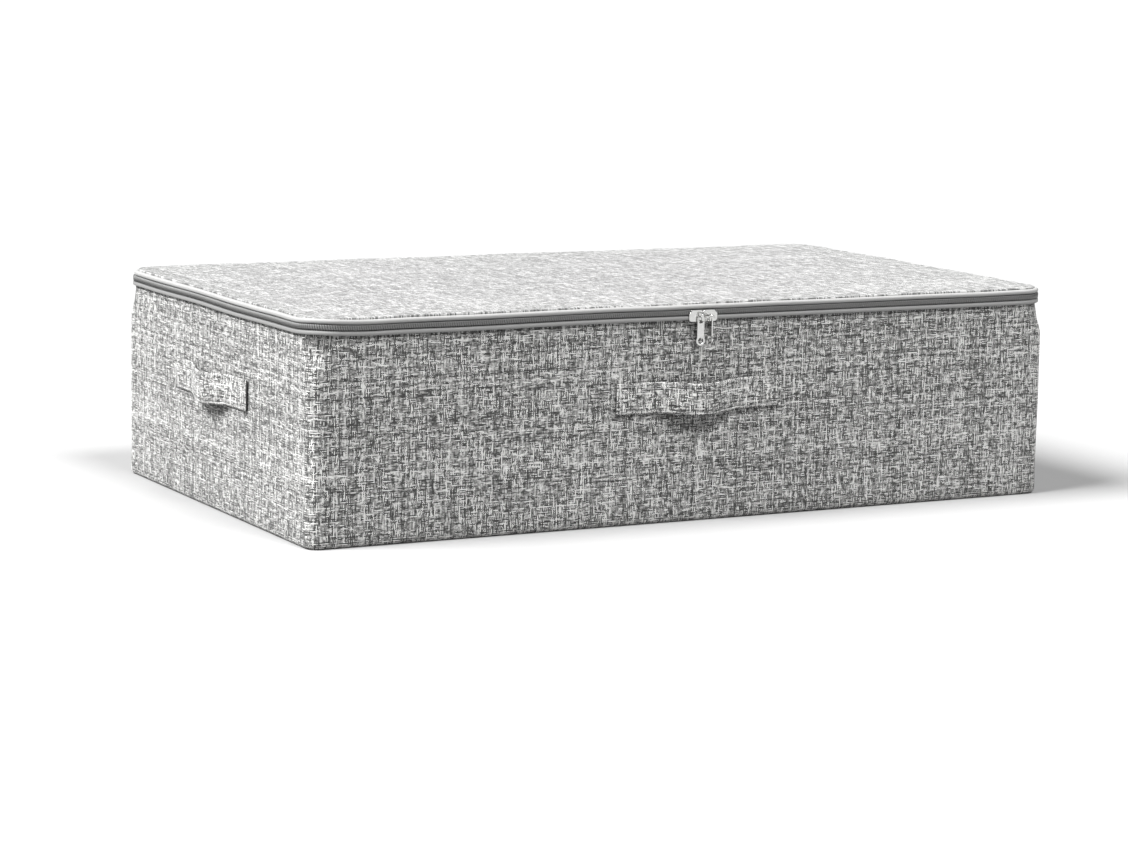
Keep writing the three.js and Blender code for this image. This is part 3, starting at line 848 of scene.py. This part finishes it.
# %% Wall lining and rim
wall_low, wall_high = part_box("wall_lining")
WALL_DEPTH = HALF_X - wall_high.x
LINING_THICK = 0.8 * MM
upright_z = np.linspace(wall_low.z, ROUND_START, 16)[:-1]
widening_z = np.linspace(ROUND_START, wall_high.z, 10)
inside_z = np.concatenate([upright_z, widening_z])
outside_z = np.array([wall_high.z, ROUND_START, wall_low.z])
lining_z = np.concatenate([inside_z, outside_z])
thickness = np.concatenate([np.full(len(inside_z), LINING_THICK), np.zeros(len(outside_z))])
lining_d = WALL_DEPTH + thickness
lining_round = body_round(lining_z, lining_d)
wall_lining = around("wall_lining_cloth", ROUND_TRIP, lining_d, lining_round, lining_z, lining_cloth)
settle(wall_lining, "box", "nonwoven", "wall_lining")


def round_profile(depth, z, across, height, points, power=2.0):
    """A closed loop of depths and heights: a circle squared off by power, across by height in size."""
    a = np.linspace(0, 2 * math.pi, points, endpoint=False)
    c, s = np.cos(a), np.sin(a)
    swell = (np.abs(c) ** power + np.abs(s) ** power) ** (-1 / power)
    return depth - across / 2 * c * swell, z + height / 2 * s * swell


rim_low, rim_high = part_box("rim_binding")
rim_width, rim_height = WALL_DEPTH + LINING_THICK - SLEEVE_DEPTH, rim_high.z - rim_low.z
rim_depth, rim_middle = SLEEVE_DEPTH + rim_width / 2, (rim_low.z + rim_high.z) / 2
rim_d, rim_z = round_profile(rim_depth, rim_middle, rim_width, rim_height, 16, 4.0)
rim = around("rim_binding_tape", ROUND_TRIP, rim_d, ARC_CENTRE - rim_d, rim_z, tape_cloth)
settle(rim, "box", "tape", "rim_binding")

# %% [markdown]
# ## Stitches
# A line of stitches is one short arched thread repeated. It could be an array modifier on a
# curve, but the stitches would then shear at corners. Every stitch here has the same few faces,
# and the whole line is worked out in one array before it becomes a mesh.

# %% Stitches
STITCH_LENGTH, STITCH_GAP, STITCH_THICK = 2.4 * MM, 0.9 * MM, 0.28 * MM
STITCH_ARCH, STITCH_SINK = 0.25 * MM, 0.12 * MM
STITCH_RINGS, STITCH_SIDES = 7, 6


def stitches(name, path, outward, material):
    """Short threads along a path (n, 3): each an arched capsule, its ends in the cloth.

    Its middle line rises by STITCH_ARCH times a half sine, less STITCH_SINK, and its thickness
    follows an ellipse from end to end."""
    walked = lengths(path, False)
    count = int(walked[-1] / (STITCH_LENGTH + STITCH_GAP))
    starts = np.arange(count) * (walked[-1] / count)
    t = np.linspace(0, 1, STITCH_RINGS)
    s = starts[:, None] + t * STITCH_LENGTH
    centre = np.stack([np.interp(s, walked, path[:, k]) for k in range(3)], -1)
    out = np.stack([np.interp(s, walked, outward[:, k]) for k in range(3)], -1)
    ahead = np.gradient(centre, axis=1)
    ahead /= np.linalg.norm(ahead, axis=-1, keepdims=True)
    side = np.cross(ahead, out)
    thick = STITCH_THICK * np.sqrt(1 - (2 * t - 1) ** 2 * 0.96)
    ring = np.linspace(0, 2 * math.pi, STITCH_SIDES, endpoint=False)
    centre = centre + (STITCH_ARCH * np.sin(np.pi * t) - STITCH_SINK)[None, :, None] * out
    offsets = np.cos(ring)[:, None] * side[:, :, None] + np.sin(ring)[:, None] * out[:, :, None]
    points = centre[:, :, None] + thick[None, :, None, None] * offsets
    quads, _, _ = grid_faces(STITCH_RINGS, STITCH_SIDES, False, True)
    numbers = np.arange(STITCH_RINGS * STITCH_SIDES)
    caps = np.stack([numbers[:STITCH_SIDES], numbers[-STITCH_SIDES:][::-1]])
    shift = len(numbers) * np.arange(count)[:, None, None]
    sides, ends = (quads + shift).reshape(-1, 4), (caps + shift).reshape(-1, STITCH_SIDES)
    mesh = bpy.data.meshes.new(name)
    mesh.from_pydata(points.reshape(-1, 3), [], sides.tolist() + ends.tolist())
    one = points[0].reshape(-1, 3)
    if signed_volume(one - one.mean(0), quads) < 0:
        mesh.flip_normals()
    layer = mesh.uv_layers.new(name="cloth")
    corners = np.zeros(len(mesh.loops), np.int32)
    mesh.loops.foreach_get("vertex_index", corners)
    round_thread = np.tile(ring * STITCH_THICK, count * STITCH_RINGS)
    flat = np.stack([np.repeat(s, STITCH_SIDES), round_thread], -1)
    layer.data.foreach_set("uv", flat[corners].astype(np.float32).ravel())
    mesh.polygons.foreach_set("use_smooth", np.ones(len(mesh.polygons), bool))
    mesh.materials.append(material)
    piece = bpy.data.objects.new(name, mesh)
    bpy.context.scene.collection.objects.link(piece)
    return piece


print("one stitch has", (STITCH_RINGS - 1) * STITCH_SIDES + 2, "faces")

# %% [markdown]
# ## Piping
# The lid's edge is a cord wrapped in plain cloth. A curve with a bevel would do for a straight
# one. Here a nearly round profile follows the same route as the wall, so it keeps the corners, and
# it waves very slightly along its length. One line of stitches runs along its inner side.

# %% Piping
piping_low, piping_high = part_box("lid_piping")
PIPING_SIZE = piping_high.z - piping_low.z
piping_z_mid = (piping_high.z + piping_low.z) / 2
piping_depth = HALF_X - piping_high.x + PIPING_SIZE / 2
LID_REAR = HALF_Y - (HALF_X - piping_high.x) - piping_high.y


def piping_shape(grid, normal, u):
    """Tiny uneven waves up and down and in and out along the cord."""
    s = u[:, None]
    lift = 0.10 * MM * (np.sin(s * 61 + 2 * np.sin(s * 17)) - 1)
    push = 0.10 * MM * (np.sin(s * 83 + 1.5 * np.sin(s * 23)) - 1)
    return with_zip(grid) + lift[..., None] * np.array([0, 0, 1.0]) + push[..., None] * normal


pipe_d, pipe_z = round_profile(piping_depth, piping_z_mid, PIPING_SIZE, PIPING_SIZE, 20, 2.2)
on_lid = {"rear": LID_REAR, "shape": piping_shape}
piping = around("piping", ROUND_TRIP, pipe_d, ARC_CENTRE - pipe_d, pipe_z, piping_cloth, **on_lid)
settle(piping, "lid", "tape", "lid_piping")

SEAM_IN, SEAM_UP = 0.36, 0.33
seam_depth = np.array([piping_depth + SEAM_IN * PIPING_SIZE])
seam_z = np.array([piping_z_mid + SEAM_UP * PIPING_SIZE])
seam_line, seam_out = place(ROUND_TRIP, seam_depth, ARC_CENTRE - seam_depth, seam_z, LID_REAR)
seam_line = piping_shape(seam_line, seam_out, lengths(seam_line[:, 0], False))[:, 0]
seam_up = np.broadcast_to([0, 0, 1.0], seam_line.shape)
lid_seam = stitches("lid_seam_stitches", seam_line, seam_up, thread_cloth)
settle(lid_seam, "lid", "tape")

# %% [markdown]
# ## The zip
# Each side of the zip is a woven tape that carries a nylon coil. A coil is a helix drawn out
# along the tape's edge. The upper coil's tall turns are what shows as fine ticks. The lower tape
# is folded over and stands out as a soft ridge that covers most of the lower coil.

# %% Tapes
TAPE_THICK = 0.6 * MM
mesh_line = next(j["pos_m"][2] for j in frame["joints"] if j["name"] == "lid_hinge")
tape_depth = HALF_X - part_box("lower_zip_tape")[1].x


def zip_tape(name, node, body, bottom, top, ridge):
    """A tape from bottom to top whose softly rounded outer face stands out by ridge at its middle."""
    across = TAPE_THICK + ridge
    depth = tape_depth + TAPE_THICK - across / 2
    d, z = round_profile(depth, (bottom + top) / 2, across, top - bottom, 18, 3.0)
    piece = around(name, ZIP_TRIP, d, ARC_CENTRE - d, z, tape_cloth, closed=False, shape=with_zip)
    return settle(piece, body, "tape", node)


LOWER_TAPE = (mesh_line - 3.9 * MM, mesh_line - 0.7 * MM)
UPPER_TAPE = (mesh_line + 0.4 * MM, mesh_line + 4.6 * MM)
zip_tape("zip_tape_lower", "lower_zip_tape", "box", *LOWER_TAPE, 1.6 * MM)
zip_tape("zip_tape_upper", "upper_zip_tape", "lid", *UPPER_TAPE, 0.0)

# %% [markdown]
# ## The coils
# A zip's teeth are one nylon wire wound into a coil. A single turn on an array modifier would
# fan out at the corners. So the whole wire is one surface: its middle line winds round an oval
# while the oval travels along the zip, and a flat ring is carried along that line.

# %% Coils
COIL_PITCH, WIRE_FLAT, WIRE_BROAD = 2.0 * MM, 0.26 * MM, 0.37
TURN_STEPS, WIRE_SIDES = 12, 6


def unit(vectors):
    """The vectors with their lengths made 1."""
    return vectors / np.linalg.norm(vectors, axis=1, keepdims=True)


def coil(name, node, body, bottom, top, near, far, flip):
    """A flat wire wound round an oval between two heights and two depths as it runs along the zip.

    The line is the spine plus cos(angle) outwards and sin(angle) upwards, with one turn for each
    COIL_PITCH of travel; flip is 1 or -1, the way it winds."""
    depth = (near + far) / 2
    spine, normal = place(ZIP_TRIP, depth, ARC_CENTRE - depth, (bottom + top) / 2)
    spine = with_zip(spine)[:, 0]
    normal = np.broadcast_to(normal[:, 0], spine.shape)
    walked = lengths(spine, False)
    s = np.linspace(0, walked[-1], int(walked[-1] / COIL_PITCH) * TURN_STEPS)
    centre = np.stack([np.interp(s, walked, spine[:, k]) for k in range(3)], -1)
    out = unit(np.stack([np.interp(s, walked, normal[:, k]) for k in range(3)], -1))
    angle = 2 * math.pi * s / COIL_PITCH * flip
    line = centre + ((far - near) / 2 - WIRE_FLAT) * np.cos(angle)[:, None] * out
    line[:, 2] += ((top - bottom) / 2 - WIRE_FLAT) * np.sin(angle)
    ahead = unit(np.gradient(line, axis=0))
    aside = unit(np.cross(ahead, centre - line))
    inward = np.cross(ahead, aside)
    ring = np.linspace(0, 2 * math.pi, WIRE_SIDES, endpoint=False)
    broad = WIRE_BROAD * COIL_PITCH * np.cos(ring)[None, :, None] * aside[:, None]
    flat = WIRE_FLAT * np.sin(ring)[None, :, None] * inward[:, None]
    round_wire = np.linspace(0, 2 * math.pi * WIRE_FLAT, WIRE_SIDES + 1)
    piece = grid_piece(name, line[:, None] + broad + flat, s, round_wire, nylon)
    return settle(piece, body, "coil", node)


LOWER_COIL = (mesh_line - 2.2 * MM, mesh_line - 0.15 * MM, 0.5 * MM, 1.5 * MM)
UPPER_COIL = (mesh_line + 0.15 * MM, mesh_line + 4.5 * MM, 0.2 * MM, 1.6 * MM)
coil("zip_coil_lower", "lower_zip_coil", "box", *LOWER_COIL, 1)
coil("zip_coil_upper", "upper_zip_coil", "lid", *UPPER_COIL, -1)

# %% [markdown]
# ## Patches at the zip's ends
# Both ends of the zip are covered by a small sewn patch on the box and another on the lid, so
# that no raw tape shows where the zip stops and the hinge cloth begins. A patch is a squared-off
# round, drawn out along the back and pinched a little at its two ends.


# %% Zip end patches
def end_patch(name, low, high, body, *nodes):
    """A flat patch with softly rounded faces between two corners, thinner at its two ends."""
    stations = np.linspace(low[0], high[0], 16)
    d, z = round_profile(0, (low[2] + high[2]) / 2, high[1] - low[1], high[2] - low[2], 16, 5.0)
    pinch = (1 - 0.5 * np.abs(np.linspace(-1, 1, 16)) ** 8)[:, None]
    y = (high[1] + low[1]) / 2 - d * pinch
    grid = np.stack(np.broadcast_arrays(stations[:, None], y, z), -1)
    patch = grid_piece(name, grid, stations, lengths(np.stack([d, z], -1), True), piping_cloth)
    settle(patch, body, "tape", *nodes)


PATCH_LOW, PATCH_HIGH, PATCH_OUT = mesh_line + 0.4 * MM, mesh_line + 4.7 * MM, 0.4 * MM
for side in ("left", "right"):
    low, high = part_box(f"zip_end_tab_{side}")
    end_patch(f"end_patch_box_{side}", low, high, "box", f"zip_end_tab_{side}")
    lid_low, lid_high = (low.x, low.y - PATCH_OUT, PATCH_LOW), (high.x, high.y, PATCH_HIGH)
    end_patch(f"end_patch_lid_{side}", lid_low, lid_high, "lid")

# %% [markdown]
# ## The cloth hinge
# Along the back no zip runs: one strip of plain cloth joins the box to the lid and bends when
# the lid opens. Two halves would gape at the hinge. So it is a single piece that runs from the
# box's strip up to the lid's, drawn in its closed shape and parented to neither body.

# %% Hinge cloth
lower_low, lower_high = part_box("hinge_strip_lower")
upper_low, upper_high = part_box("hinge_strip_upper")
STRIP_ROWS, HINGE_BEND, STRIP_BOW = 40, 2.5 * MM, 0.12 * MM
rising = np.linspace(lower_low.z, upper_high.z, STRIP_ROWS)
strip_z = np.concatenate([rising, rising[::-1]])
strip_y = np.repeat([lower_high.y, lower_low.y], STRIP_ROWS)
stations = np.linspace(lower_low.x, lower_high.x, 120)
bow = STRIP_BOW * np.sin(stations * 70 + 2 * np.sin(stations * 19))[:, None]
bowed_y = strip_y + bow * np.sin(np.pi * (strip_z - strip_z.min()) / np.ptp(strip_z))
grid = np.stack(np.broadcast_arrays(stations[:, None], bowed_y, strip_z), -1)
round_strip = lengths(np.stack([strip_y, strip_z], -1), True)
hinge = grid_piece("hinge_cloth", grid, stations, round_strip, tape_cloth)
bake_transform(hinge)
settle(hinge, None, "tape", "hinge_strip_lower", "hinge_strip_upper")

# %% [markdown]
# ## Strap handles
# A strap is a folded band of the same slub cloth, drawn with a lighter thread colour than the
# wall as painted light. Its ends are sewn flat to the wall and its middle stands out for the
# hand, sagging a little. A cloth simulation would give one random result, so the shape is a
# formula instead: a squared cosine outwards and its square downwards. Stitches run along both
# edges and in a box at each end.


# %% Straps
STRAP_LOOP, STRAP_BULGE, STRAP_SAG = 0.100, 9.5 * MM, 2.4 * MM
STRAP_THICK, STRAP_LEAN = 2.0 * MM, 0.5 * MM
STRAP_BACK = 2.3 * MM
EDGE_INSET, BOX_INSET, BOX_LONG = 1.5 * MM, 3.0 * MM, 26 * MM


def strap_hump(s, loop, bulge):
    """The strap's standing out: a squared cosine over its free middle and nothing beyond."""
    return np.where(np.abs(s) < loop / 2, bulge * np.cos(math.pi * s / loop) ** 2, 0.0)


def strap_line(s):
    """Outward and downward places of the strap's middle at a distance along it."""
    return strap_hump(s, STRAP_LOOP, STRAP_BULGE), -STRAP_SAG * (strap_hump(s, STRAP_LOOP, 1.0) ** 2)


def lean_out(s, length):
    """How much further the strap's upper edge leans out than its lower edge."""
    return STRAP_LEAN * np.cos(math.pi * s / length) ** 2


def to_wall(points, turn):
    """Turns points given as along, outwards and up to the front wall, then by an angle about Z."""
    facing = np.array([[1, 0, 0], [0, -1, 0], [0, 0, 1.0]])
    return points @ facing.T @ np.array(Matrix.Rotation(turn, 3, "Z")).T


def strap_seam(name, walk, up, out, mid_z, turn):
    """A line of stitches on the strap: walk along it, up from its middle, out from its wall."""
    rise, drop = strap_line(walk)
    path = to_wall(np.stack([walk, out + rise, mid_z + up + drop], -1), turn)
    outward = np.broadcast_to(to_wall(np.array([0, 1.0, 0]), turn), path.shape)
    settle(stitches(name, path, outward, thread_cloth), "box", "linen")


def strap(name, node, turn):
    """A strap and its stitches, worked out as seen from its own wall and then turned to it."""
    low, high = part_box(node)
    size, mid_z = high - low, (low.z + high.z) / 2
    length, width = max(size.x, size.y), size.z
    base = (HALF_Y if size.x > size.y else HALF_X) - STRAP_BACK
    s = np.linspace(-length / 2, length / 2, 150)
    out, down = strap_line(s)
    tilt = np.sin(np.arctan(np.gradient(out, s)))[:, None]
    across, z = round_profile(0, 0, STRAP_THICK, width, 28, 5.0)
    fold = 1 - 0.25 * smooth(np.abs(s), length / 2 - EDGE_INSET, length / 2)[:, None]
    lean = lean_out(s, length)[:, None] * (z / width)
    along = s[:, None] + across * tilt
    outwards = base + STRAP_THICK / 2 + out[:, None] - across * fold + lean
    height = mid_z + down[:, None] + z * (1 - 0.02 * np.sin(np.pi * s / length)[:, None] ** 2)
    grid = to_wall(np.stack([along, outwards, height], -1), turn)
    round_band = lengths(np.stack([across, z], -1), True)
    band = grid_piece(name, grid, s + 3.0, round_band, strap_cloth_painted_light)
    settle(band, "box", "linen", node)
    edge = width / 2 - EDGE_INSET
    walk = np.linspace(-length / 2 + 4 * MM, length / 2 - 4 * MM, 120)
    for label, up in (("low", -edge), ("high", edge)):
        face = base + STRAP_THICK + lean_out(walk, length) * up / width
        strap_seam(f"{name}_edge_stitches_{label}", walk, np.full(walk.shape, up), face, mid_z, turn)
    for label, end in (("a", -1), ("b", 1)):
        near, far, up = end * (length / 2 - BOX_INSET), end * (length / 2 - BOX_LONG), width / 2 - BOX_INSET
        corner = np.array([(near, -up), (far, -up), (far, up), (near, up), (near, -up)])
        sides = [np.linspace(corner[k], corner[k + 1], 12, endpoint=False) for k in range(4)]
        box = np.concatenate([*sides, corner[4:]])
        strap_seam(f"{name}_stitches_{label}", box[:, 0], box[:, 1], base + STRAP_THICK, mid_z, turn)


strap("front_strap", "front_handle", 0.0)
strap("left_strap", "left_handle", -QUARTER)
strap("right_strap", "right_handle", QUARTER)

# %% [markdown]
# ## Sliders and pulls
# These are small nickel castings, and the frame's shapes are right, so they stay. Their corners
# are welded and rounded with a fine bevel, because a real casting has no sharp edge, and that
# edge is what catches the light.

# %% Nickel parts and boards
EDGE_WIDTHS = {"slider_left": 0.2, "slider_right": 0.2, "pull_left": 0.25, "pull_right": 0.25}
for name, width in EDGE_WIDTHS.items():
    part = frame["nodes"][name]
    weld = part.modifiers.new("weld", "WELD")
    weld.merge_threshold = 0.01 * MM
    bevel = part.modifiers.new("bevel", "BEVEL")
    bevel.width = width * MM
    bevel.segments = 3
    bevel.limit_method = "ANGLE"
    bevel.angle_limit = math.radians(35)
    part.data.materials.clear()
    part.data.materials.append(nickel)

for name, node in frame["nodes"].items():
    if name.endswith("board") or "_board_" in name:
        node.data.materials.clear()
        node.data.materials.append(greyboard)
print("bevelled:", list(EDGE_WIDTHS), "width in mm:", list(EDGE_WIDTHS.values()))
